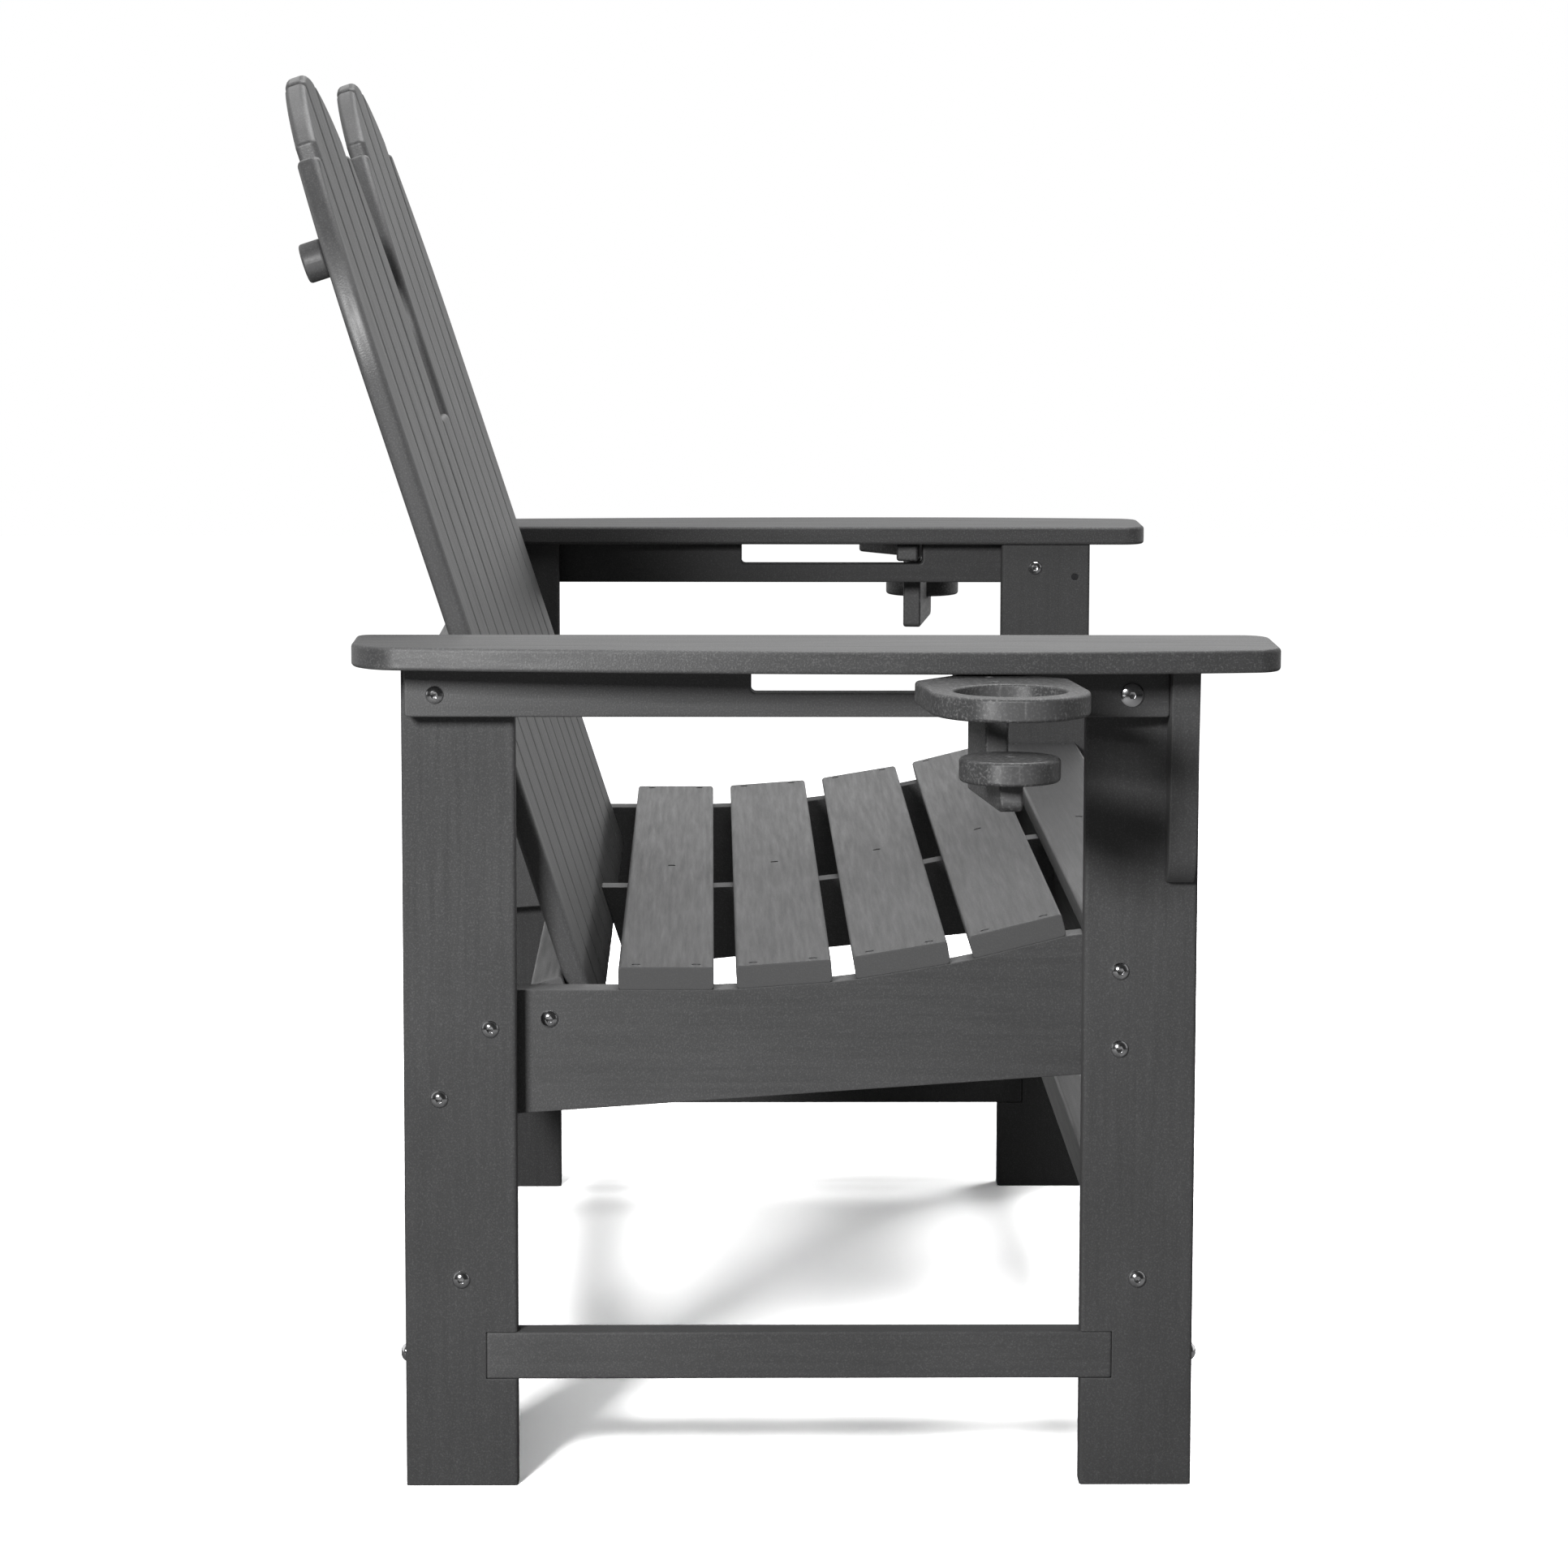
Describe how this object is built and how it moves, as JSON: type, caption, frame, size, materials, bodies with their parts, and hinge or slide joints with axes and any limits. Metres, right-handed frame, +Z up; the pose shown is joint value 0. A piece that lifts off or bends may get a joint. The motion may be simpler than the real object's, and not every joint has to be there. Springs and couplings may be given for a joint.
{
  "type": "garden bench",
  "caption": "Upright double garden bench in dark grey plastic lumber with a twin-arched slatted back, curved slatted seat, wide arms and sliding cup holders.",
  "frame": {"origin": "centre of the bounding box, on the ground under the feet", "axes": "+Z up, the seat faces -Y, the bench's width lies along X, the sitter's right side is at -X"},
  "size_m": [1.673, 0.7914, 1.1193],
  "materials": {
    "lumber": "dark neutral grey recycled plastic lumber, fine brushed grain and speckle, soft sheen",
    "steel": "bright stainless"
  },
  "bodies": {
    "frame": {"leg_front_right": "lumber", "leg_rear_right": "lumber", "leg_front_left": "lumber", "leg_rear_left": "lumber", "seat_stringer_right": "lumber", "seat_stringer_middle": "lumber", "seat_stringer_left": "lumber", "seat_front_rail": "lumber", "seat_slat_1": "lumber", "seat_slat_2": "lumber", "seat_slat_3": "lumber", "seat_slat_4": "lumber", "seat_slat_5": "lumber", "back_slat_01": "lumber", "back_slat_02": "lumber", "back_slat_03": "lumber", "back_slat_04": "lumber", "back_slat_05": "lumber", "back_slat_06": "lumber", "back_slat_07": "lumber", "back_slat_08": "lumber", "back_slat_09": "lumber", "back_slat_10": "lumber", "back_slat_11": "lumber", "back_rail_lower": "lumber", "back_rail_middle": "lumber", "back_rail_upper": "lumber", "arm_right": "lumber", "arm_left": "lumber", "arm_apron_right": "lumber", "arm_apron_left": "lumber", "arm_bracket_right": "lumber", "arm_bracket_left": "lumber", "side_stretcher_right": "lumber", "side_stretcher_left": "lumber", "cross_stretcher_front": "lumber", "cross_stretcher_rear": "lumber", "stringer_bolts": "steel", "stretcher_bolts": "steel", "side_stretcher_bolts": "steel", "lower_rail_bolts": "steel", "arm_joint_bolts": "steel", "apron_front_bolts": "steel", "apron_front_nuts": "steel", "bracket_screws": "steel", "arm_screws": "steel", "seat_screws": "steel", "back_screws": "steel", "middle_stringer_screws": "steel"},
    "cup_holder_right": {"cup_ring_right": "lumber", "cup_hanger_right": "lumber", "cup_base_right": "lumber", "cup_screws_right": "steel"},
    "cup_holder_left": {"cup_ring_left": "lumber", "cup_hanger_left": "lumber", "cup_base_left": "lumber", "cup_screws_left": "steel"}
  },
  "joints": [
    {"name": "cup_holder_right_slide", "type": "slide", "parent": "frame", "child": "cup_holder_right", "axis": [0, 1, 0], "range_m": [0, 0.15]},
    {"name": "cup_holder_left_slide", "type": "slide", "parent": "frame", "child": "cup_holder_left", "axis": [0, 1, 0], "range_m": [0, 0.15]}
  ]
}
